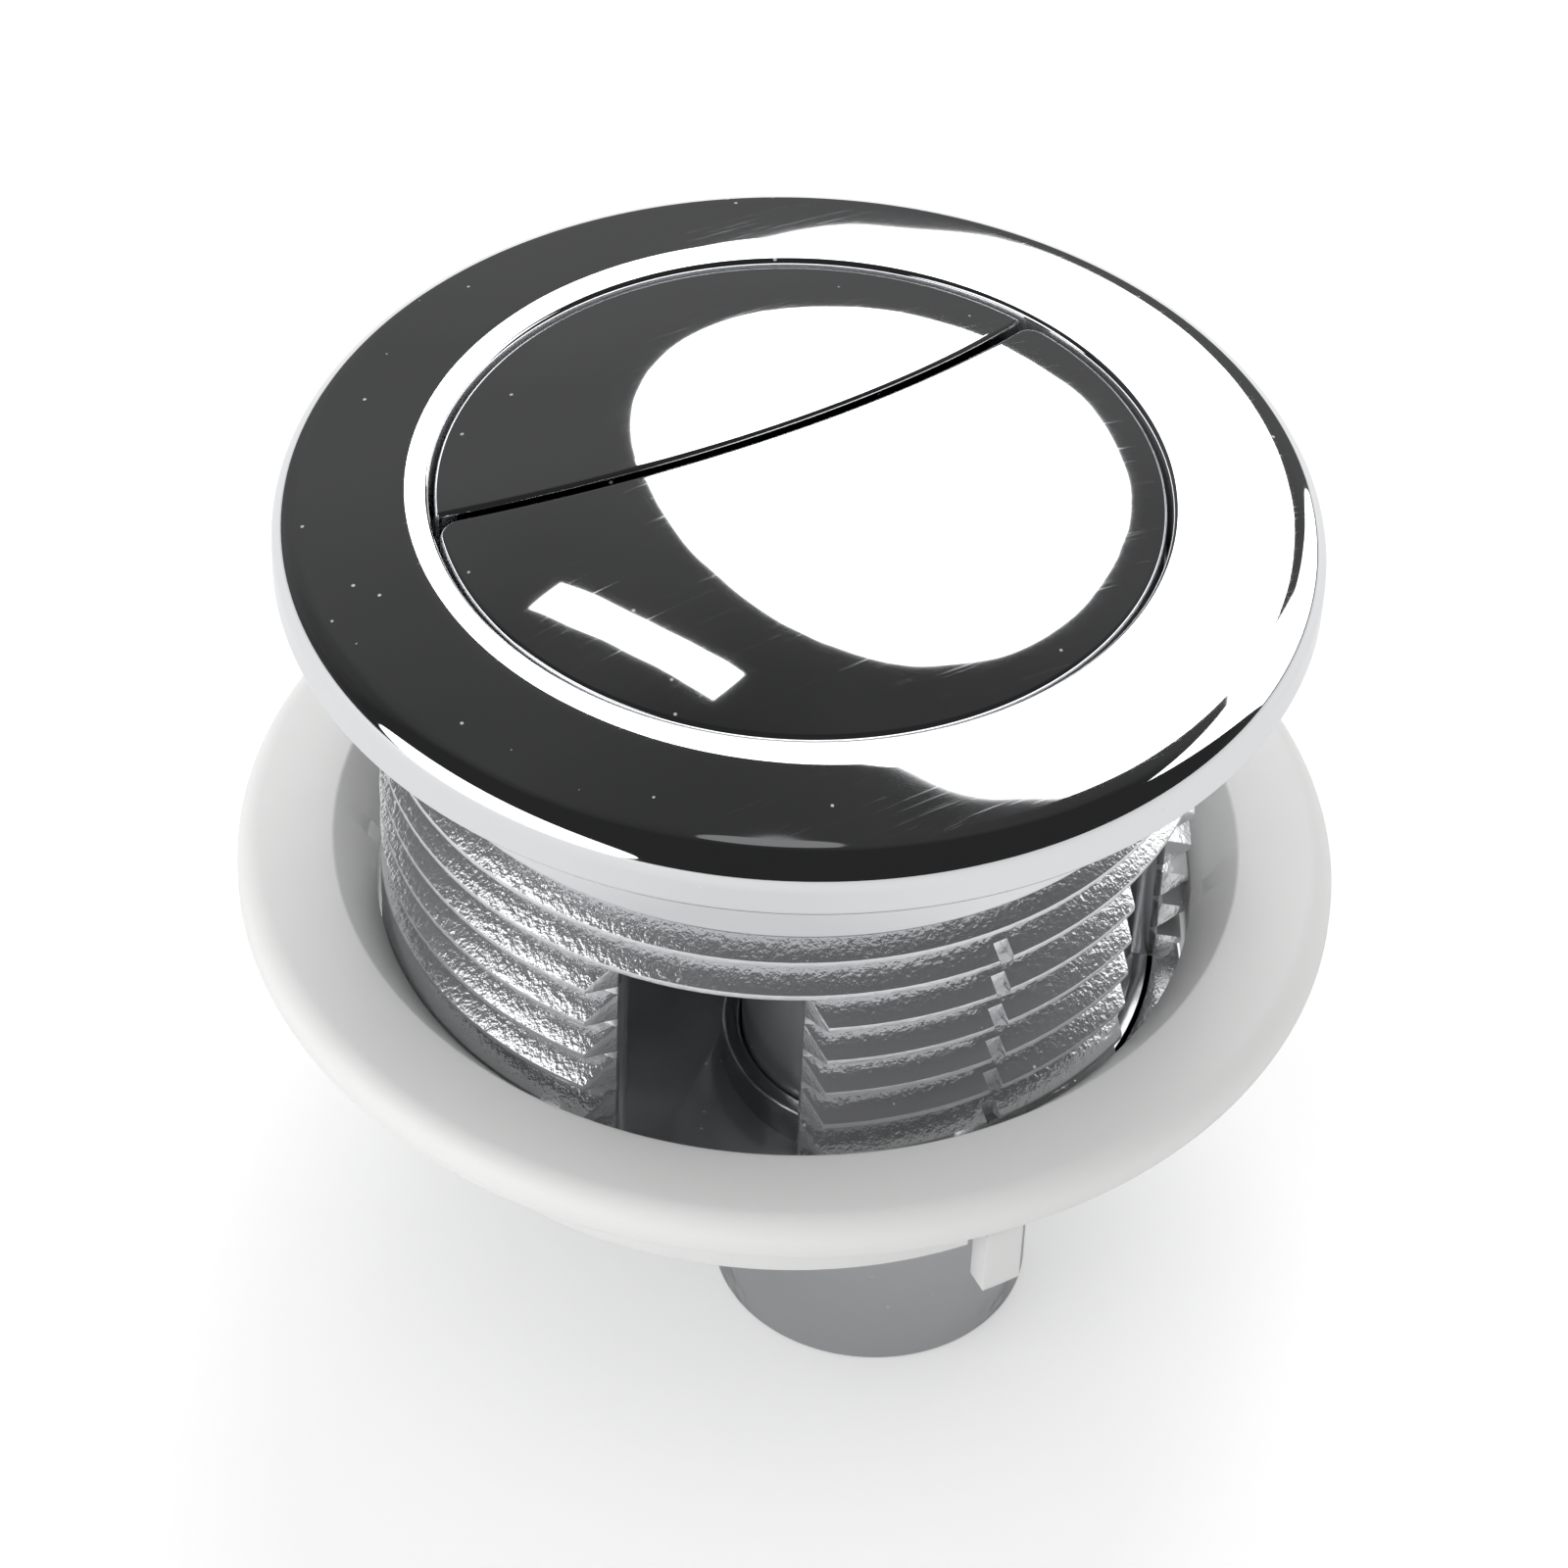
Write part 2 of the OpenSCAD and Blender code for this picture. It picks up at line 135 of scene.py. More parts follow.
soft_light("oval_soft_box", "ELLIPSE", azimuth=51.9, elevation=39.6, width=0.57, height=0.902,
           level=3.0, roll=13.7, distance=1.08)
strip_lamp = soft_light("strip_lamp", "RECTANGLE", azimuth=79.5, elevation=58.6, width=0.3, height=0.058,
           level=3.0, roll=118)
side_window = soft_light("side_window", "RECTANGLE", azimuth=2, elevation=27, width=0.82,
                         height=0.9, level=2.0)
soft_light("low_window", "ELLIPSE", azimuth=182, elevation=11, width=1.12, height=0.74,
           level=1.9, roll=-12)
small_reflector = soft_light("small_reflector", "ELLIPSE", azimuth=60.5, elevation=68.2, width=0.13, height=0.085,
           level=0.2)

bpy.context.scene.view_settings.view_transform = "Standard"
world = bpy.data.worlds.new("white_room")
bpy.context.scene.world = world
world.use_nodes = True
tree = world.node_tree
tree.nodes.clear()
rays = add_node(tree, "ShaderNodeLightPath")
seen = add_node(tree, "ShaderNodeMath", {0: rays.outputs["Is Camera Ray"],
                                         1: rays.outputs["Is Glossy Ray"]}, operation="ADD")
seen = add_node(tree, "ShaderNodeMath", {0: seen.outputs[0],
                                         1: rays.outputs["Is Transmission Ray"]},
                operation="ADD", use_clamp=True)
fill = add_node(tree, "ShaderNodeBackground", {"Color": linear("#FFFFFF"), "Strength": 0.66})
white = add_node(tree, "ShaderNodeBackground", {"Color": linear("#FFFFFF"), "Strength": 1.0})
both = add_node(tree, "ShaderNodeMixShader", {0: seen.outputs[0], 1: fill.outputs[0],
                                              2: white.outputs[0]})
add_node(tree, "ShaderNodeOutputWorld", {"Surface": both.outputs[0]})


def shine_on(lamp, piece):
    """Flags a lamp off everything but one piece."""
    lit = bpy.data.collections.new(lamp.name + "_catches")
    lit.objects.link(piece)
    lamp.light_linking.receiver_collection = lit


def deselect():
    if bpy.context.mode != "OBJECT":
        bpy.ops.object.mode_set(mode="OBJECT")
    bpy.ops.object.select_all(action="DESELECT")


def new_primitive(name, operator, **sizes):
    """Adds a primitive with nothing else selected, names it and applies its place."""
    deselect()
    operator(**sizes)
    bpy.ops.object.transform_apply(location=True, rotation=True, scale=True)
    piece = bpy.context.object
    piece.name = piece.data.name = name
    return piece


floor = new_primitive("floor", bpy.ops.mesh.primitive_plane_add, size=8,
                      location=(0, 0, cad_box[0].z))
# Matt white paper; it is seen a little lighter than it is lit, so that it runs out to white
paper, tree = empty_material("white_paper_sweep")
rays = add_node(tree, "ShaderNodeLightPath")
seen = add_node(tree, "ShaderNodeMath", {0: rays.outputs["Is Camera Ray"],
                                         1: rays.outputs["Is Glossy Ray"]}, operation="ADD",
                use_clamp=True)
sheet = add_node(tree, "ShaderNodeBsdfDiffuse", {"Color": linear("#F2F2F2")})
lifted = add_node(tree, "ShaderNodeMath", {0: rays.outputs["Is Camera Ray"], 1: 0.2, 2: 0.1},
                  operation="MULTIPLY_ADD")
glow = add_node(tree, "ShaderNodeEmission", {"Color": linear("#FFFFFF"),
                                             "Strength": lifted.outputs[0]})
lift = add_node(tree, "ShaderNodeAddShader", {0: sheet.outputs[0], 1: glow.outputs[0]})
paper_out = add_node(tree, "ShaderNodeMixShader", {0: seen.outputs[0],
                                                   1: sheet.outputs[0], 2: lift.outputs[0]})
add_node(tree, "ShaderNodeOutputMaterial", {"Surface": paper_out.outputs[0]})
floor.data.materials.append(paper)

drapes = new_primitive("dark_drapes", bpy.ops.mesh.primitive_uv_sphere_add, segments=64,
                       ring_count=32, radius=1.8)
bpy.ops.object.mode_set(mode="EDIT")
bpy.ops.mesh.select_all(action="SELECT")
bpy.ops.mesh.bisect(plane_co=(0, 0, 0), plane_no=(0, 0, 1), clear_inner=True)
bpy.ops.object.mode_set(mode="OBJECT")
# A low collar of dark card stands on the paper, and is open to the two windows
collar = new_primitive("dark_collar", bpy.ops.mesh.primitive_cylinder_add, vertices=120,
                       radius=0.1005, depth=0.061, end_fill_type="NOTHING",
                       location=(0, 0, cad_box[0].z + 0.031))
for face in collar.data.polygons:
    azimuth = degrees(atan2(face.center.y, face.center.x)) % 360
    face.select = azimuth < 25 or azimuth > 340 or 152 < azimuth < 216
bpy.ops.object.mode_set(mode="EDIT")
bpy.ops.mesh.delete(type="FACE")
bpy.ops.object.mode_set(mode="OBJECT")
# Charcoal cloth that glows faintly instead of being lit, a painted tone for the chrome to reflect: painted
# lighter behind the unit, with broad soft folds 0.6 m apart
cloth, tree = empty_material("charcoal_drape_painted_glow")
place = add_node(tree, "ShaderNodeTexCoord").outputs["Object"]
behind = add_node(tree, "ShaderNodeVectorMath", {0: place, 1: (0.28, 0.48, -0.1)},
                  operation="DOT_PRODUCT")
folds = add_node(tree, "ShaderNodeTexNoise", {"Vector": place, "Scale": 1 / 0.6, "Detail": 2.0})
shade = add_node(tree, "ShaderNodeMath", {0: folds.outputs["Fac"], 1: 0.4,
                                          2: behind.outputs["Value"]}, operation="MULTIPLY_ADD")
painted_drape_glow = add_node(tree, "ShaderNodeMapRange", {"Value": shade.outputs[0], "From Min": 0.2,
                                             "From Max": 1.15, "To Min": 0.024, "To Max": 0.1})
dark = add_node(tree, "ShaderNodeEmission", {"Color": linear("#FFFFFF"),
                                             "Strength": painted_drape_glow.outputs["Result"]})
add_node(tree, "ShaderNodeOutputMaterial", {"Surface": dark.outputs[0]})
# Drapes and collar both glow with this painted tone, and are seen only in reflections
for dark_cloth in (drapes, collar):
    dark_cloth.data.materials.append(cloth)
    dark_cloth.visible_camera = dark_cloth.visible_diffuse = dark_cloth.visible_shadow = False
    dark_cloth.visible_transmission = dark_cloth.visible_volume_scatter = False


# Housing
# One ABS moulding, chrome plated: a low domed bezel, plain neck, threaded skirt with four
# windows, floor, and two sleeves that the buttons' plungers slide in. It hangs by its rim
# in the lid's hole.
def turned(name, outline, steps=256, centre=(0.0, 0.0)):
    """A half outline of (radius, height) points in mm, drawn edge by edge and spun."""
    points = [Vector((r, 0, z)) * MM for r, z in outline]
    if outline[0][0] > 0:
        points.append(points[0])
    piece = new_primitive(name, bpy.ops.mesh.primitive_plane_add, size=MM, location=points[0])
    bpy.ops.object.mode_set(mode="EDIT")
    bpy.ops.mesh.select_all(action="SELECT")
    bpy.ops.mesh.merge(type="CENTER")
    for before, after in zip(points, points[1:]):
        bpy.ops.mesh.extrude_region_move(
            TRANSFORM_OT_translate={"value": after - before})
    bpy.ops.mesh.select_all(action="SELECT")
    bpy.ops.mesh.spin(steps=steps, angle=2 * pi, center=(0, 0, 0), axis=(0, 0, 1))
    bpy.ops.mesh.select_all(action="SELECT")
    bpy.ops.mesh.remove_doubles(threshold=0.0005 * MM)
    bpy.ops.mesh.normals_make_consistent(inside=False)
    bpy.ops.transform.translate(value=(centre[0] * MM, centre[1] * MM, 0))
    bpy.ops.object.mode_set(mode="OBJECT")
    return piece


def arc(centre, radius, start, end, steps):
    """Points of a circular arc, from one angle in degrees to another."""
    return [(centre[0] + radius * cos(radians(start + (end - start) * i / steps)),
             centre[1] + radius * sin(radians(start + (end - start) * i / steps)))
            for i in range(steps + 1)]


def block(name, low, high, centre=(0, 0), turn=0.0):
    """A box from its low to its high corner, in mm, turned about the upright axis."""
    middle = Matrix.Rotation(turn, 3, "Z") @ ((Vector(high) + Vector(low)) / 2)
    middle += Vector((*centre, 0))
    return new_primitive(name, bpy.ops.mesh.primitive_cube_add, size=1, location=middle * MM,
                         rotation=(0, 0, turn), scale=(Vector(high) - Vector(low)) * MM)


def cut_with(piece, cutter, operation="DIFFERENCE"):
    """Applies an exact boolean and removes the cutter."""
    deselect()
    bpy.context.view_layer.objects.active = piece
    modifier = piece.modifiers.new("cut", "BOOLEAN")
    modifier.operation, modifier.solver, modifier.object = operation, "EXACT", cutter
    bpy.ops.object.modifier_apply(modifier=modifier.name)
    bpy.data.objects.remove(cutter)


def soften_edges(piece, width, angle=35, segments=2):
    """Breaks the sharp edges by a small round, and shades the faces smoothly."""
    deselect()
    bpy.context.view_layer.objects.active = piece
    piece.select_set(True)
    modifier = piece.modifiers.new("edge", "BEVEL")
    modifier.width, modifier.segments = width * MM, segments
    modifier.limit_method, modifier.angle_limit = "ANGLE", radians(angle)
    modifier.use_clamp_overlap = True
    bpy.ops.object.modifier_apply(modifier=modifier.name)
    bpy.ops.object.mode_set(mode="EDIT")
    bpy.ops.mesh.select_all(action="SELECT")
    bpy.ops.mesh.remove_doubles(threshold=0.0002 * MM)
    bpy.ops.mesh.dissolve_degenerate(threshold=0.0002 * MM)
    bpy.ops.object.mode_set(mode="OBJECT")
    bpy.ops.object.shade_smooth_by_angle(angle=radians(angle))


def finish(name, material, *pieces):
    """Gives the pieces one material, and joins them into the first under a new name."""
    for piece in pieces:
        piece.data.materials.clear()
        piece.data.materials.append(material)
    deselect()
    for piece in pieces:
        piece.select_set(True)
    bpy.context.view_layer.objects.active = pieces[0]
    bpy.ops.object.join()
    pieces[0].name = pieces[0].data.name = name
    return pieces[0]


BEZEL_R, FOOT_R, LAND_H, RIM_H, BEZEL_WALL = 36.0, 33.8, 5.6, 2.1, 2.0
NECK_END, SKIRT_END, FLOOR_TOP = -8.8, -38.0, -35.5
CREST_R, ROOT_R, SKIRT_BORE = 29.0, 27.1, 25.3
# The flat ring turns down over a short curve, then falls in one long shallow curve, and
# runs over a wider round into the upright rim band
LAND_R, TURN_R, SLOPE_IN, SLOPE_OUT = 26.5, 7.0, radians(9.45), radians(10.5)
turn_arc = arc((LAND_R, LAND_H - TURN_R), TURN_R, 90, 90 - degrees(SLOPE_IN), 6)
slope_r, slope_z = turn_arc[-1]
steep = cos(SLOPE_OUT) / (1 - sin(SLOPE_OUT))
SWEEP_R = ((slope_z - RIM_H - (BEZEL_R - slope_r) * steep)
           / (cos(SLOPE_IN) - cos(SLOPE_OUT) - (sin(SLOPE_OUT) - sin(SLOPE_IN)) * steep))
sweep = arc((slope_r - SWEEP_R * sin(SLOPE_IN), slope_z - SWEEP_R * cos(SLOPE_IN)), SWEEP_R,
            90 - degrees(SLOPE_IN), 90 - degrees(SLOPE_OUT), 12)
RIM_ROUND = (sweep[-1][1] - RIM_H) / cos(SLOPE_OUT)
rim_arc = arc((BEZEL_R - RIM_ROUND, RIM_H), RIM_ROUND, 90 - degrees(SLOPE_OUT), 0, 14)
under_fall = (slope_z - sweep[-1][1]) / (sweep[-1][0] - slope_r)
under_slope = [(r, slope_z - (r - slope_r) * under_fall - BEZEL_WALL)
               for r in (FOOT_R - 0.3, CREST_R)]
shell = turned("housing_shell", [
    (SKIRT_BORE, LAND_H - 0.3), (SKIRT_BORE + 0.09, LAND_H - 0.09), (SKIRT_BORE + 0.3, LAND_H),
    (SKIRT_BORE + 0.4, LAND_H), *turn_arc, *sweep[1:-1], *rim_arc,
    (BEZEL_R, RIM_H - 0.1), (BEZEL_R, 0.4), (BEZEL_R, 0.3), (BEZEL_R - 0.09, 0.09), (BEZEL_R - 0.3, 0),
    (FOOT_R + 0.2, 0), (FOOT_R, 0.2), (FOOT_R, under_slope[0][1] - 0.3), *under_slope,
    (CREST_R - 0.4, under_slope[1][1] - 0.4), (CREST_R - 0.4, 0), (CREST_R, 0),
    (CREST_R, NECK_END + 0.15), (CREST_R - 0.15, NECK_END), (ROOT_R, NECK_END),
    (ROOT_R, SKIRT_END + 0.2), (ROOT_R - 0.2, SKIRT_END),
    (SKIRT_BORE, SKIRT_END)])

# The thread's ridge, wound down the skirt as one sweep: its upper flank falls gently and
# its underside is nearly flat
PITCH, CREST_W, RIDGE_H, FLANK = 3.1, 0.4, 2.85, 2.1
THREAD_TOP, THREAD_TURNS, RIDGE_BASE = -7.9, 8.66, 26.6
section = [(RIDGE_BASE, 0), (CREST_R, -FLANK), (RIDGE_BASE, -RIDGE_H),
           (CREST_R, -FLANK - CREST_W)]
thread = new_primitive("thread", bpy.ops.mesh.primitive_plane_add, size=MM)
for vertex, (r, z) in zip(thread.data.vertices, section):
    vertex.co = Vector((r, 0, THREAD_TOP + z)) * MM
modifier = thread.modifiers.new("wind", "SCREW")
modifier.angle = -2 * pi * THREAD_TURNS
modifier.screw_offset = -PITCH * THREAD_TURNS * MM
modifier.steps = modifier.render_steps = round(THREAD_TURNS * 120)
modifier.use_smooth_shade = False
bpy.ops.object.modifier_apply(modifier=modifier.name)
# The first and last eighth of a turn sink into the wall
for vertex in thread.data.vertices:
    x, y, z = vertex.co / MM
    r = hypot(x, y)
    if abs(r - CREST_R) < 1:
        turn = (THREAD_TOP - FLANK - z) / PITCH
        full = max(0.05, min(1.0, turn * 8, (THREAD_TURNS - turn) * 8))
        scale = (RIDGE_BASE + full * (CREST_R - RIDGE_BASE)) / r
        vertex.co.x, vertex.co.y = x * scale * MM, y * scale * MM
bpy.ops.object.mode_set(mode="EDIT")
bpy.ops.mesh.select_all(action="SELECT")
bpy.ops.mesh.fill_holes(sides=0)
bpy.ops.mesh.select_all(action="SELECT")
bpy.ops.mesh.normals_make_consistent(inside=False)
bpy.ops.object.mode_set(mode="OBJECT")

WINDOW_TOP, WINDOW_HALF, WINDOW_AT, RIDGE_FADE = -15.1, 13.75, 48.5, 4.5
# A hair under the floor's top, so that a ridge isn't left with a sliver there
WINDOW_LOW = FLOOR_TOP - 0.013


def window_cutter(middle):
    """A wedge through the skirt's wall that flares where the ridges run out."""
    piece = new_primitive("window", bpy.ops.mesh.primitive_circle_add, vertices=7,
                          radius=MM, fill_type="NGON")
    far = CREST_R + 1
    plan = [(SKIRT_BORE - 2, -WINDOW_HALF), (ROOT_R, -WINDOW_HALF),
            (far, -WINDOW_HALF - RIDGE_FADE), (far + 1, 0),
            (far, WINDOW_HALF + RIDGE_FADE), (ROOT_R, WINDOW_HALF),
            (SKIRT_BORE - 2, WINDOW_HALF)]
    for vertex, (r, a) in zip(piece.data.vertices, plan):
        turn = radians(middle + a)
        vertex.co = Vector((r * cos(turn), r * sin(turn), WINDOW_LOW)) * MM
    bpy.ops.object.mode_set(mode="EDIT")
    bpy.ops.mesh.select_all(action="SELECT")
    bpy.ops.mesh.extrude_region_move(
        TRANSFORM_OT_translate={"value": (0, 0, (WINDOW_TOP - WINDOW_LOW) * MM)})
    bpy.ops.mesh.select_all(action="SELECT")
    bpy.ops.mesh.normals_make_consistent(inside=False)
    bpy.ops.object.mode_set(mode="OBJECT")
    return piece


for side in (0, 180):
    for turn in (-WINDOW_AT, WINDOW_AT):
        for piece in (shell, thread):
            cut_with(piece, window_cutter(side + turn))
# The mould's parting line leaves a notch across the ridges on either side
NOTCH_W, NOTCH_IN = 1.1, 28.05
for side in (-1, 1):
    low, high = sorted((side * NOTCH_IN, side * (CREST_R + 1)))
    cut_with(thread, block("notch", (-NOTCH_W / 2, low, SKIRT_END),
                           (NOTCH_W / 2, high, NECK_END - PITCH)))
soften_edges(shell, 0.12)
soften_edges(thread, 0.07)

skirt_floor = turned("skirt_floor", [(0, FLOOR_TOP), (SKIRT_BORE + 0.3, FLOOR_TOP),
                                     (SKIRT_BORE + 0.3, SKIRT_END), (0, SKIRT_END)])
SLEEVE_Y, SLEEVE_OUT, SLEEVE_IN, GUIDE_HOLE = 14.2, 11.38, 10.08, 3.98
SLEEVE_END, SLEEVE_TOP, GUIDE_LOW, GUIDE_TOP = -56.1, -32.6, -46.0, -43.5
sleeves = []
for side in (-1, 1):
    hole_r = SLEEVE_OUT - 0.5
    cut_with(skirt_floor, turned("hole", [(0, -30), (hole_r, -30), (hole_r, -60), (0, -60)],
                                 steps=96, centre=(0, side * SLEEVE_Y)))
    sleeves.append(turned("sleeve", [
        (SLEEVE_IN + 0.25, SLEEVE_TOP), (SLEEVE_OUT - 0.2, SLEEVE_TOP),
        (SLEEVE_OUT, SLEEVE_TOP - 0.2), (SLEEVE_OUT, SLEEVE_END + 0.3),
        (SLEEVE_OUT - 0.09, SLEEVE_END + 0.09), (SLEEVE_OUT - 0.3, SLEEVE_END),
        (SLEEVE_IN + 0.3, SLEEVE_END), (SLEEVE_IN, SLEEVE_END + 0.3),
        (SLEEVE_IN, GUIDE_LOW), (GUIDE_HOLE, GUIDE_LOW), (GUIDE_HOLE, GUIDE_TOP),
        (SLEEVE_IN, GUIDE_TOP), (SLEEVE_IN, SLEEVE_TOP - 0.25)],
        steps=160, centre=(0, side * SLEEVE_Y)))
    soften_edges(sleeves[-1], 0.05)
soften_edges(skirt_floor, 0.1)
RIB_N, RIB_T = 12, 1.2
ribs = [block("rib", (CREST_R - 0.9, -RIB_T / 2, RIM_H / 2),
              (FOOT_R + 0.3, RIB_T / 2, under_slope[0][1] + 0.2),
              turn=(i + 0.5) * 2 * pi / RIB_N) for i in range(RIB_N)]


# Chromium over nickel on moulded ABS: a hard mirror with a faint orange peel, hairline
# scratches and specks of dust. Where the mould was left unpolished, as on the thread, the
# plate is satin and grainy.
def chrome_plate(name, peel_mm, peel_depth_mm, roughness, grain_mm=0.0, grain_depth_mm=0.0,
                 colour="#E6E7E9", metallic=1.0):
    material, tree = empty_material(name)
    place = add_node(tree, "ShaderNodeTexCoord").outputs["Object"]
    peel = add_node(tree, "ShaderNodeTexNoise", {"Vector": place, "Scale": 1 / (peel_mm * MM),
                                                 "Detail": 1.0, "Roughness": 0.4})
    bump = add_node(tree, "ShaderNodeBump", {"Height": peel.outputs["Fac"], "Strength": 1.0,
                                             "Distance": peel_depth_mm * MM})
    if grain_mm:
        grain = add_node(tree, "ShaderNodeTexNoise", {
            "Vector": place, "Scale": 1 / (grain_mm * MM), "Detail": 2.0, "Roughness": 0.6})
        bump = add_node(tree, "ShaderNodeBump", {
            "Height": grain.outputs["Fac"], "Strength": 1.0,
            "Distance": grain_depth_mm * MM, "Normal": bump.outputs[0]})
    # Hairlines, only on the bright plate: a noise drawn out 60 times, kept where it peaks,
    # in two directions
    hair = roughness
    for turn, reach in () if grain_mm else ((0.6, 0.66), (2.1, 0.68)):
        drawn_out = add_node(tree, "ShaderNodeMapping", {
            "Vector": place, "Rotation": (0, 0, turn),
            "Scale": (1 / (9 * MM), 1 / (0.15 * MM), 1 / (9 * MM))})
        lines = add_node(tree, "ShaderNodeTexNoise", {"Vector": drawn_out.outputs[0],
                                                      "Scale": 1.0, "Detail": 2.0})
        scratch = add_node(tree, "ShaderNodeMapRange", {
            "Value": lines.outputs["Fac"], "From Min": reach, "From Max": reach + 0.05,
            "To Min": 0.0, "To Max": 0.04})
        hair = add_node(tree, "ShaderNodeMath", {0: scratch.outputs["Result"], 1: hair},
                        operation="ADD").outputs[0]
    # Dust: specks of 0.15 mm where the cells of a 2.5 mm pattern have their middle
    cells = add_node(tree, "ShaderNodeTexVoronoi", {"Vector": place, "Scale": 1 / (2.5 * MM)})
    speck = add_node(tree, "ShaderNodeMapRange", {
        "Value": cells.outputs["Distance"], "From Min": 0.045, "From Max": 0.06,
        "To Min": 0.35, "To Max": metallic})
    shader = add_node(tree, "ShaderNodeBsdfPrincipled", {
        "Base Color": linear(colour), "Metallic": speck.outputs["Result"],
        "Roughness": hair, "Normal": bump.outputs[0]})
    add_node(tree, "ShaderNodeOutputMaterial", {"Surface": shader.outputs[0]})
    return material


bright = chrome_plate("bright_chrome_on_abs", peel_mm=9, peel_depth_mm=0.02, roughness=0.03)
satin = chrome_plate("satin_chrome_on_thread", peel_mm=3, peel_depth_mm=0.02, roughness=0.21,
                     grain_mm=0.45, grain_depth_mm=0.075, metallic=0.82)
inside = chrome_plate("dull_chrome_inside", peel_mm=5, peel_depth_mm=0.02, roughness=0.2,
                      metallic=0.78)
# The sleeves' plate is darker, partly as a satin plate is and partly painted shade: it stands in for the shaded
# paper under the nut that they reflect
darkened_sleeve_chrome = chrome_plate("satin_chrome_on_sleeve_partly_painted_shade", peel_mm=6, peel_depth_mm=0.02,
                             roughness=0.24, grain_mm=2.5, grain_depth_mm=0.1, colour="#B9BABC")
shell = finish("shell", bright, shell, skirt_floor, *ribs)
# The skirt between the ridges has the thread's satin plate, and its inside is dull
shell.data.materials.append(satin)
shell.data.materials.append(inside)
for face in shell.data.polygons:
    x, y, z = face.center / MM
    if z < NECK_END and hypot(x, y) > SKIRT_BORE + 0.9:
        face.material_index = 1
    elif z < RIM_H and hypot(x, y) < SKIRT_BORE + 0.9:
        face.material_index = 2
thread = finish("thread", satin, thread)
sleeves = finish("sleeves", darkened_sleeve_chrome, *sleeves)
deselect()
for piece in (shell, thread, sleeves):
    piece.select_set(True)
bpy.context.view_layer.objects.active = shell
bpy.ops.object.join()
housing = shell
housing.name = housing.data.name = "housing_moulding"
for lamp in (side_window, small_reflector):
    shine_on(lamp, housing)
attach(housing, "housing")
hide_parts("housing")


# Buttons
# Two caps of chrome plated ABS under one shallow dome that a curved split parts. Each is
# one moulding with the plunger tube that slides in its sleeve, and a boss for its pusher.
CAP_R, CAP_EDGE, CAP_LOW, DOME_R, CAP_WALL, CAP_TOP = 24.95, 5.35, -2.15, 105.0, 1.6, 2.0
SPLIT_R, SPLIT_Y, SPLIT_GAP, EDGE_ROUND = 52.0, 3.4, 0.7, 0.35
TUBE_R, TUBE_IN, TUBE_LOW = 10.0, 8.5, -38.0
BOSS_R, BOSS_HOLE, BOSS_LOW, SEAT_Z = 4.2, 2.5, -16.0, -14.0
SIDES = {"half_flush": 1, "full_flush": -1}


def crown(x, y):
    """Height of the dome over both buttons."""
    return CAP_EDGE - sqrt(DOME_R ** 2 - CAP_R ** 2) + sqrt(DOME_R ** 2 - x * x - y * y)


def cap_plan(side, corner, inset):
    """A cap's outline from above, drawn in by the inset; it always has as many points."""
    round_r, split_r = CAP_R - inset, SPLIT_R - side * (SPLIT_GAP / 2 + inset)
    corner_r, split_at = max(corner - inset, 0.2), SPLIT_Y + SPLIT_R
    a, b = round_r - corner_r, split_r - side * corner_r
    y = (a * a - b * b + split_at ** 2) / (2 * split_at)
    x = sqrt(a * a - y * y)
    to_round = degrees(atan2(y, x))
    to_split = degrees(atan2(side * (y - split_at), side * x))
    half = [*arc((0, 0), round_r, side * 90, to_round, 90),
            *arc((x, y), corner_r, to_round, to_split, 8)[1:],
            *arc((0, split_at), split_r, degrees(atan2(y - split_at, x)), -90, 60)[1:]]
    return half + [(-x, y) for x, y in half[-2:0:-1]]


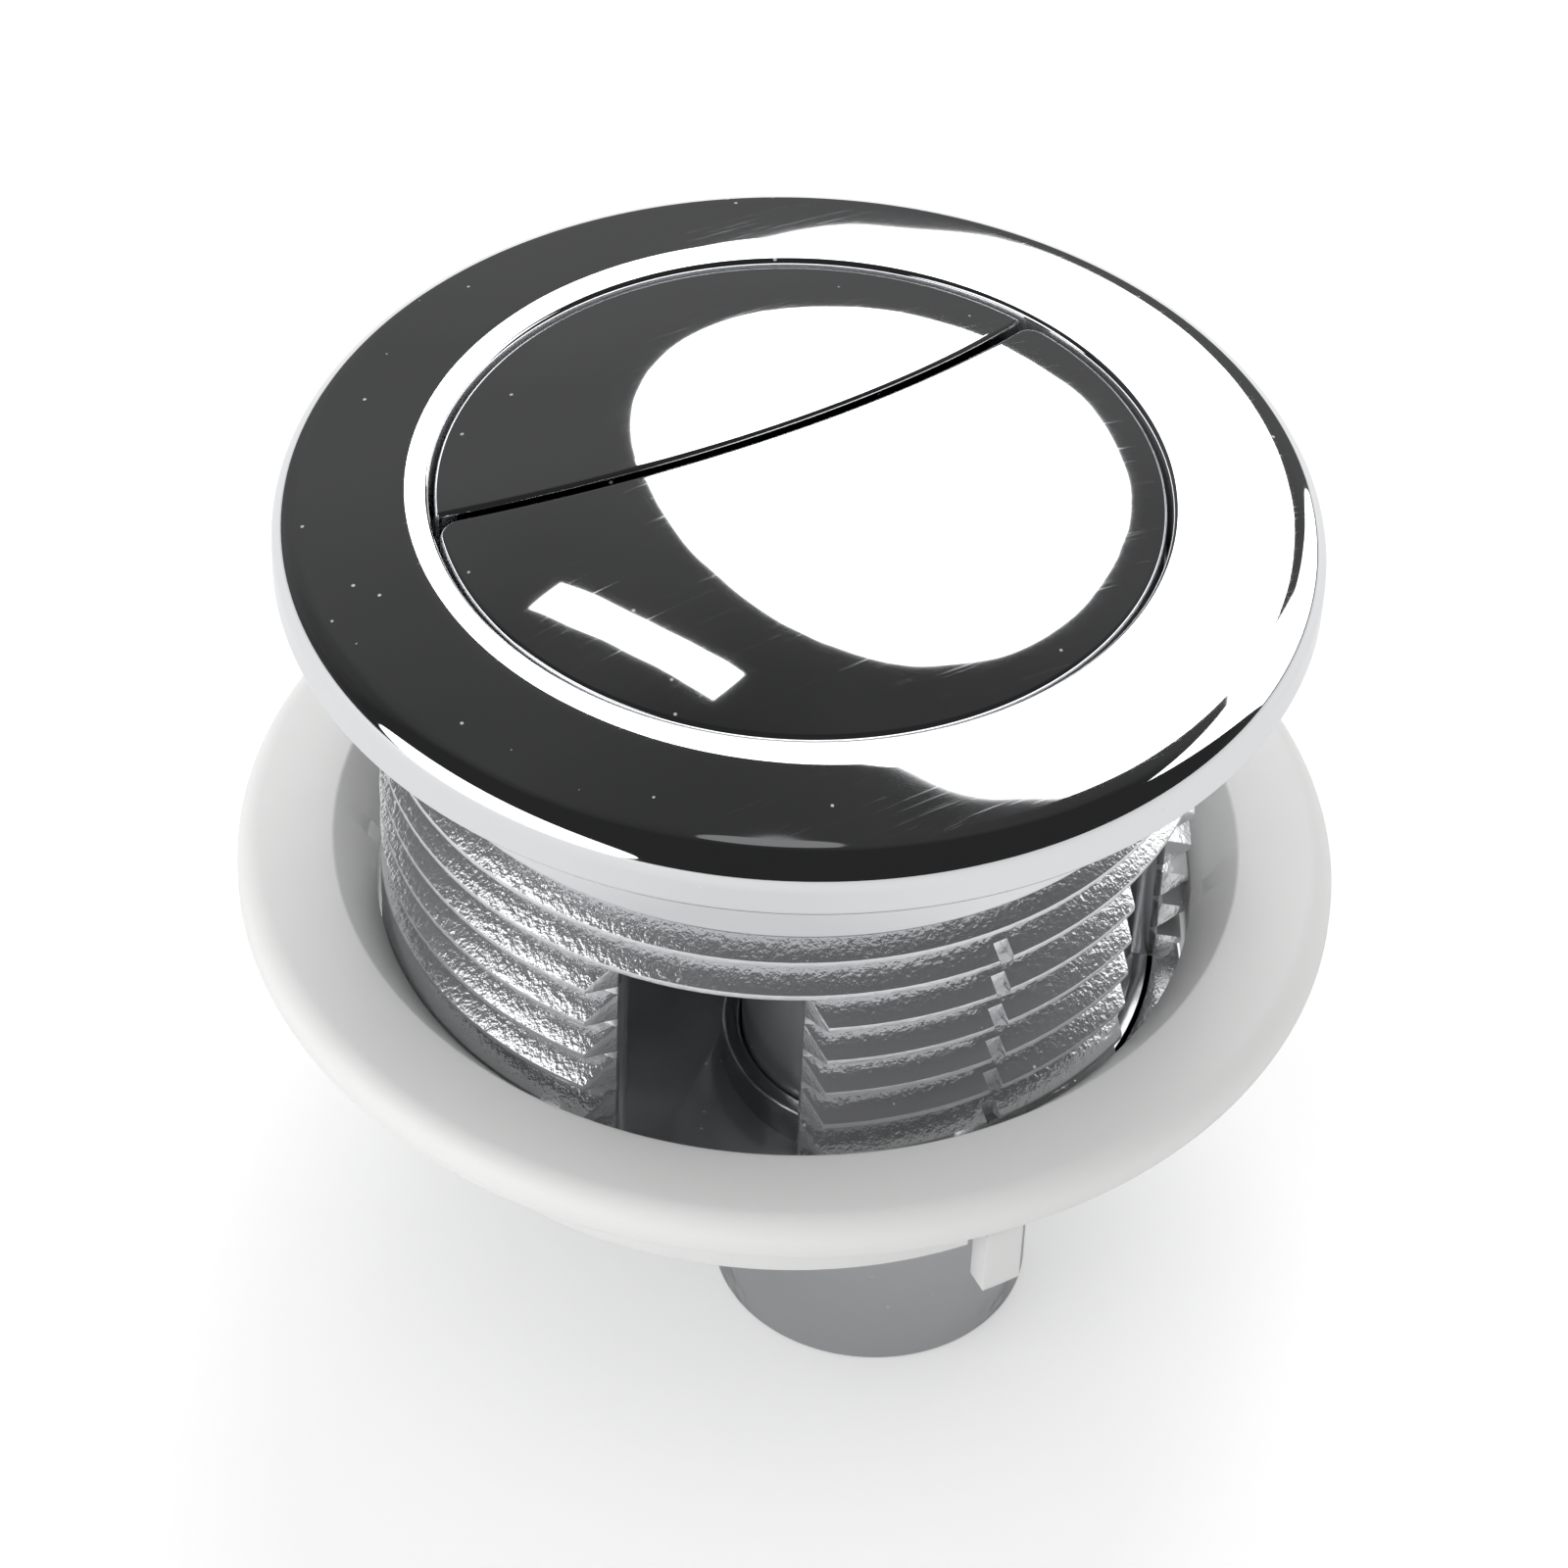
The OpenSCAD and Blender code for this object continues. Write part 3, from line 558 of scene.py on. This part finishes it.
def button(name, side, corner):
    """One cap with its tube; corner rounds it in plan where split and round side meet."""
    # Rings from the hollow's top down its wall, round the lip, up the side and over the
    # edge: inset from the outline, depth under the dome, and height where it is level
    lip = 0.1
    rings = [(CAP_WALL + 0.6, CAP_TOP, None), (CAP_WALL + 0.3, CAP_TOP, None),
             (CAP_WALL, CAP_TOP + 0.3, None), (CAP_WALL, 0, CAP_LOW + lip),
             (CAP_WALL - lip, 0, CAP_LOW), (lip, 0, CAP_LOW), (0, 0, CAP_LOW + lip),
             *[(EDGE_ROUND - x, EDGE_ROUND - y, None)
               for x, y in arc((0, 0), EDGE_ROUND, 0, 90, 6)],
             (EDGE_ROUND + 0.05, 0, None), (EDGE_ROUND + 0.5, 0, None)]
    around = len(cap_plan(side, corner, 0))
    cap = new_primitive(name, bpy.ops.mesh.primitive_grid_add, size=MM,
                        x_subdivisions=around, y_subdivisions=len(rings) - 1)
    places = []
    for inset, depth, level in rings:
        plan = cap_plan(side, corner, inset)
        for x, y in [*plan, plan[0]]:
            places.append((x, y, crown(x, y) - depth if level is None else level))
    for vertex, place in zip(cap.data.vertices, places):
        vertex.co = Vector(place) * MM
    bpy.ops.object.mode_set(mode="EDIT")
    bpy.ops.mesh.select_all(action="SELECT")
    bpy.ops.mesh.remove_doubles(threshold=0.0005 * MM)
    bpy.ops.mesh.fill_holes(sides=0)
    bpy.ops.object.mode_set(mode="OBJECT")
    # The two faces that close it are cut into a net of 1 mm, and raised to the dome
    for face in cap.data.polygons:
        face.select = len(face.vertices) > 4
    bpy.ops.object.mode_set(mode="EDIT")
    bpy.ops.mesh.select_mode(type="FACE")
    bpy.ops.mesh.hide(unselected=True)
    for axis in ((1, 0, 0), (0, 1, 0)):
        for i in range(-24, 25):
            bpy.ops.mesh.select_all(action="SELECT")
            bpy.ops.mesh.bisect(plane_co=Vector(axis) * (i + 0.03) * MM, plane_no=axis)
    bpy.ops.mesh.reveal()
    bpy.ops.mesh.select_mode(type="VERT")
    bpy.ops.mesh.select_all(action="SELECT")
    bpy.ops.mesh.normals_make_consistent(inside=False)
    bpy.ops.object.mode_set(mode="OBJECT")
    for vertex in cap.data.vertices:
        x, y, z = vertex.co / MM
        if abs(z - crown(x, y)) < 1 and z < crown(x, y) + 1 and z > crown(x, y) - CAP_TOP / 2:
            within = min(CAP_R - hypot(x, y),
                         side * (SPLIT_R - hypot(x, y - SPLIT_Y - SPLIT_R)) - SPLIT_GAP / 2)
            if within > EDGE_ROUND + 0.4:
                vertex.co.z = crown(x, y) * MM
        elif abs(z - crown(x, y) + CAP_TOP) < 1:
            within = min(CAP_R - hypot(x, y),
                         side * (SPLIT_R - hypot(x, y - SPLIT_Y - SPLIT_R)) - SPLIT_GAP / 2)
            if within > CAP_WALL + 0.5:
                vertex.co.z = (crown(x, y) - CAP_TOP) * MM
    deselect()
    cap.select_set(True)
    bpy.context.view_layer.objects.active = cap
    bpy.ops.object.shade_smooth_by_angle(angle=radians(35))
    tube = turned("tube", [
        (TUBE_R - 0.2, 4.0), (TUBE_R, 3.8), (TUBE_R, TUBE_LOW + 0.2), (TUBE_R - 0.2, TUBE_LOW),
        (TUBE_IN + 0.2, TUBE_LOW), (TUBE_IN, TUBE_LOW + 0.2), (TUBE_IN, 4.0)],
        steps=160, centre=(0, side * SLEEVE_Y))
    boss = turned("boss", [(BOSS_HOLE, BOSS_LOW), (BOSS_R, BOSS_LOW), (BOSS_R, 4.0),
                           (BOSS_HOLE, 4.0)], steps=64, centre=(0, side * SLEEVE_Y))
    seats = [block("seat_rib", (BOSS_R - 0.3, -0.8, SEAT_Z), (TUBE_IN + 0.3, 0.8, 4.0),
                   centre=(0, side * SLEEVE_Y), turn=i * pi / 2) for i in range(4)]
    for piece in (tube, boss, *seats):
        soften_edges(piece, 0.05)
    tube = finish("tube", inside, tube, boss, *seats)
    cap.data.materials.append(cap_chrome)
    deselect()
    tube.select_set(True)
    cap.select_set(True)
    bpy.context.view_layer.objects.active = cap
    bpy.ops.object.join()
    return cap


cap_chrome = chrome_plate("bright_chrome_on_button", peel_mm=8, peel_depth_mm=0.022,
                          roughness=0.03)
# The full flush cap's corners are rounded more, so a wider gap shows beside them
for flush, corner in (("half_flush", 0.3), ("full_flush", 1.3)):
    piece = button(flush + "_cap", SIDES[flush], corner)
    if flush == "full_flush":
        shine_on(strip_lamp, piece)
    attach(piece, flush)
    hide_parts(flush + "_button")


# Pushers
# White acetal pins, injection moulded, that plug into the buttons from below. The foot
# catches under the guide wall and presses the valve's post.
SHANK_R, SPIGOT_R, PUSHER_FOOT_R, PUSHER_FOOT_T, NOSE_H = 3.9, 2.45, 6.5, 2.0, 1.2


def moulded_plastic(name, colour, roughness, grain_mm, subsurface=0.0):
    """Plastic with the fine grain of a spark-eroded mould, and soft clouds of gloss."""
    material, tree = empty_material(name)
    place = add_node(tree, "ShaderNodeTexCoord").outputs["Object"]
    grain = add_node(tree, "ShaderNodeTexNoise", {"Vector": place, "Scale": 1 / (grain_mm * MM),
                                                  "Detail": 3.0})
    bump = add_node(tree, "ShaderNodeBump", {"Height": grain.outputs["Fac"], "Strength": 0.35,
                                             "Distance": 0.02 * MM})
    cloud = add_node(tree, "ShaderNodeTexNoise", {"Vector": place, "Scale": 1 / (14 * MM),
                                                  "Detail": 2.0})
    shade = add_node(tree, "ShaderNodeMapRange", {
        "Value": cloud.outputs["Fac"], "From Min": 0.3, "From Max": 0.7,
        "To Min": roughness - 0.05, "To Max": roughness + 0.05})
    shader = add_node(tree, "ShaderNodeBsdfPrincipled", {
        "Base Color": linear(colour), "Roughness": shade.outputs["Result"], "IOR": 1.49,
        "Normal": bump.outputs[0], "Subsurface Weight": subsurface,
        "Subsurface Scale": 1.0, "Subsurface Radius": (2.5 * MM, 2.5 * MM, 2.4 * MM)})
    add_node(tree, "ShaderNodeOutputMaterial", {"Surface": shader.outputs[0]})
    return material


# Moulded acetal: opaque, cool white, with a slight waxy gloss
acetal = moulded_plastic("white_acetal", "#ECECE8", 0.4, grain_mm=0.4)
for flush, side in SIDES.items():
    foot_z = GUIDE_LOW - 0.05 - PUSHER_FOOT_T
    top_z = foot_z + PUSHER_FOOT_T
    nose_r = (SHANK_R ** 2 + NOSE_H ** 2) / (2 * NOSE_H)
    nose = arc((0, foot_z - NOSE_H + nose_r), nose_r, -90,
               degrees(asin(SHANK_R / nose_r)) - 90, 8)
    pin = turned(flush + "_pin", [
        *nose, (PUSHER_FOOT_R - 0.2, foot_z), (PUSHER_FOOT_R, foot_z + 0.2),
        (PUSHER_FOOT_R, top_z - 0.2), (PUSHER_FOOT_R - 0.2, top_z), (SHANK_R, top_z),
        (SHANK_R, BOSS_LOW - 0.05), (SPIGOT_R, BOSS_LOW - 0.05), (SPIGOT_R, -6.3),
        (SPIGOT_R - 0.25, -6.05), (0, -6.05)], steps=96, centre=(0, side * SLEEVE_Y))
    soften_edges(pin, 0.05)
    finish(flush + "_pin", acetal, pin)
    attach(pin, flush)
    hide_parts(flush + "_pusher")


# Springs
# Compression springs of drawn stainless wire with closed ends. They stand on the guide
# walls inside the plunger tubes, and shorten as a button is pressed.
SPRING_R, WIRE_R, SPRING_LOW, SPRING_HIGH = 7.3, 0.5, -42.95, -14.55
COILS, COIL_STEPS, LOOSE_PITCH = 8, 48, 10
# Drawn stainless wire: a grey metal, dulled by fine die lines
wire, tree = empty_material("drawn_stainless_wire")
place = add_node(tree, "ShaderNodeTexCoord").outputs["Object"]
drawn = add_node(tree, "ShaderNodeTexNoise", {"Vector": place, "Scale": 1 / (0.3 * MM)})
bump = add_node(tree, "ShaderNodeBump", {"Height": drawn.outputs["Fac"], "Strength": 0.3,
                                         "Distance": 0.01 * MM})
shader = add_node(tree, "ShaderNodeBsdfPrincipled", {
    "Base Color": linear("#C6C7C9"), "Metallic": 1.0, "Roughness": 0.25,
    "Normal": bump.outputs[0]})
add_node(tree, "ShaderNodeOutputMaterial", {"Surface": shader.outputs[0]})
for flush, side in SIDES.items():
    spring = new_primitive(flush + "_coil", bpy.ops.mesh.primitive_circle_add, vertices=12,
                           radius=WIRE_R * MM, location=(SPRING_R * MM, 0, 0),
                           rotation=(pi / 2, 0, 0))
    # Wound evenly and wide apart first; then closed up to its height
    modifier = spring.modifiers.new("wind", "SCREW")
    modifier.angle, modifier.screw_offset = 2 * pi * COILS, COILS * LOOSE_PITCH * MM
    modifier.steps = modifier.render_steps = COILS * COIL_STEPS
    bpy.ops.object.modifier_apply(modifier=modifier.name)
    for vertex in spring.data.vertices:
        x, y, z = vertex.co / MM
        turn = (atan2(y, x) / (2 * pi)) % 1
        coil = round(z / LOOSE_PITCH - turn) + turn
        even = max(0.0, min(1.0, (coil - 1) / (COILS - 2)))
        middle = (SPRING_LOW + 2 * WIRE_R * (min(coil, 1) + max(0, coil - COILS + 1))
                  + (SPRING_HIGH - SPRING_LOW - 4 * WIRE_R) * even)
        vertex.co = Vector((x, y + side * SLEEVE_Y, middle + z - coil * LOOSE_PITCH)) * MM
    bpy.ops.object.mode_set(mode="EDIT")
    bpy.ops.mesh.select_all(action="SELECT")
    bpy.ops.mesh.fill_holes(sides=0)
    bpy.ops.mesh.select_all(action="SELECT")
    bpy.ops.mesh.normals_make_consistent(inside=False)
    bpy.ops.object.mode_set(mode="OBJECT")
    bpy.ops.object.shade_smooth_by_angle(angle=radians(40))
    spring.data.materials.append(wire)
    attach(spring, "housing")
    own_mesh(spring)
    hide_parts(flush + "_spring")


# Clamp nut
# Injection moulded in translucent white polypropylene: a wide flange with a funnel
# mouth, and a collar that slots part into fingers, with grip tabs under it. It screws up
# the thread against the underside of the lid.
NUT_TOP, FLANGE_T, NUT_H, NUT_TURN = -25.9, 3.0, 12.5, radians(26)
NUT_BORE, COLLAR_R, NUT_R, MOUTH_R, FLANGE_ROUND = 29.3, 31.6, 39.2, 32.35, 1.8
FUNNEL_H, SLOT_N, SLOT_W, TAB_W, TAB_H = 4.0, 6, 1.6, 3.0, 5.5
nut_base = NUT_TOP - NUT_H
flange_low = NUT_TOP - FLANGE_T
nut = turned("nut", [
    (NUT_BORE, NUT_TOP - FUNNEL_H), (MOUTH_R - 0.12, NUT_TOP - 0.16),
    (MOUTH_R, NUT_TOP - 0.04), (MOUTH_R + 0.15, NUT_TOP),
    *arc((NUT_R - FLANGE_ROUND, NUT_TOP - FLANGE_ROUND), FLANGE_ROUND, 90, 0, 12),
    (NUT_R, flange_low + 0.35), (NUT_R - 0.1, flange_low + 0.1),
    (NUT_R - 0.35, flange_low), (COLLAR_R + 0.4, flange_low),
    (COLLAR_R + 0.1, flange_low - 0.1), (COLLAR_R, flange_low - 0.4),
    (COLLAR_R, nut_base + 0.2), (COLLAR_R - 0.2, nut_base), (NUT_BORE, nut_base)], steps=320)
tabs = []
for i in range(SLOT_N):
    turn = i * 2 * pi / SLOT_N + NUT_TURN
    cut_with(nut, block("slot", (NUT_BORE - 1, -SLOT_W / 2, nut_base - 1),
                        (COLLAR_R + 1, SLOT_W / 2, flange_low), turn=turn))
    # A tab stands beside every other slot
    if i % 2 == 0:
        tab_low = nut_base - TAB_H
        tab = turned("tab", [(NUT_BORE + 0.2, tab_low), (COLLAR_R - 0.2, tab_low),
                             (COLLAR_R - 0.2, nut_base + 0.5), (NUT_BORE + 0.2, nut_base + 0.5)],
                     steps=320)
        cut_with(tab, block("keep", (NUT_BORE - 1, SLOT_W / 2, tab_low - 1),
                            (COLLAR_R + 1, SLOT_W / 2 + TAB_W, nut_base + 1), turn=turn),
                 "INTERSECT")
        soften_edges(tab, 0.5, segments=4)
        tabs.append(tab)
soften_edges(nut, 0.15)
# Moulded polypropylene: milky, matt, and lit through at its thin edges
polypropylene = moulded_plastic("white_polypropylene", "#F3F3F2", 0.45, grain_mm=0.6,
                                subsurface=0.25)
nut = finish("nut_moulding", polypropylene, nut, *tabs)
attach(nut, "nut")
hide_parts("clamp_nut")
